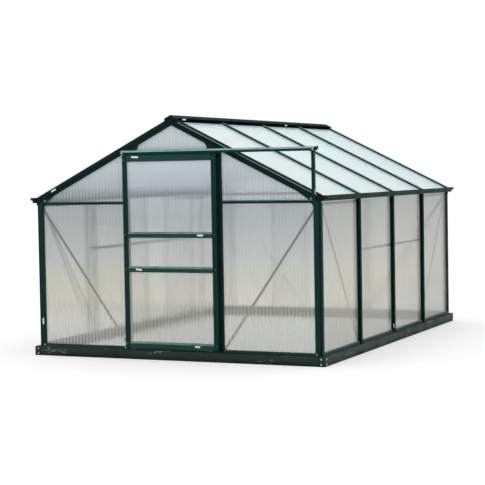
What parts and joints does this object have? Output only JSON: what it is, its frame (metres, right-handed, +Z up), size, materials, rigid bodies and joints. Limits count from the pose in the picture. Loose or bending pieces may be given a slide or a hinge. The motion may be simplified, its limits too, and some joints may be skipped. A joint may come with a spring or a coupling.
{
  "type": "polycarbonate greenhouse",
  "caption": "Walk-in garden greenhouse with a pitched roof, green aluminium frame, twin-wall polycarbonate sheets, gutters, folded base and a sliding front door.",
  "frame": {"origin": "on the ground, under the middle of the base", "axes": "+Z up; the front gable with the door faces -Y; +X is the side that the door slides to"},
  "size_m": [2.546, 3.376, 1.8882],
  "materials": {
    "green_frame": "dark green powder-coated aluminium, satin",
    "base_steel": "dark grey-green painted folded steel, scuffed",
    "polycarbonate": "translucent twin-wall polycarbonate sheet with upright flutes",
    "black_plastic": "black moulded plastic",
    "zinc_steel": "dull zinc-plated steel strip",
    "nylon": "off-white nylon"
  },
  "bodies": {
    "house": {"base_front": "base_steel", "base_back": "base_steel", "base_left": "base_steel", "base_right": "base_steel", "side_sills": "green_frame", "end_sills": "green_frame", "corner_posts": "green_frame", "left_studs": "green_frame", "right_studs": "green_frame", "back_studs": "green_frame", "left_gutter": "green_frame", "right_gutter": "green_frame", "gutter_end_caps": "black_plastic", "ridge_beam": "green_frame", "ridge_end_caps": "black_plastic", "front_rafters": "green_frame", "back_rafters": "green_frame", "left_roof_bars": "green_frame", "right_roof_bars": "green_frame", "door_jambs": "green_frame", "door_head": "green_frame", "front_eave_rails": "green_frame", "back_eave_rails": "green_frame", "front_gussets": "green_frame", "back_gussets": "green_frame", "front_braces": "zinc_steel", "back_braces": "zinc_steel", "side_braces": "zinc_steel", "side_straps": "zinc_steel", "front_panels": "polycarbonate", "back_panels": "polycarbonate", "left_wall_panels": "polycarbonate", "right_wall_panels": "polycarbonate", "left_roof_panels": "polycarbonate", "right_roof_panels": "polycarbonate", "door_track": "green_frame", "track_stops": "black_plastic", "track_post": "green_frame", "door_guide": "green_frame"},
    "door": {"door_stiles": "green_frame", "door_rails": "green_frame", "door_panels": "polycarbonate", "door_hangers": "zinc_steel", "door_wheels": "nylon", "door_glides": "nylon"}
  },
  "joints": [
    {"name": "door_slide", "type": "slide", "parent": "house", "child": "door", "axis": [1, 0, 0], "range_m": [0, 0.76]}
  ]
}
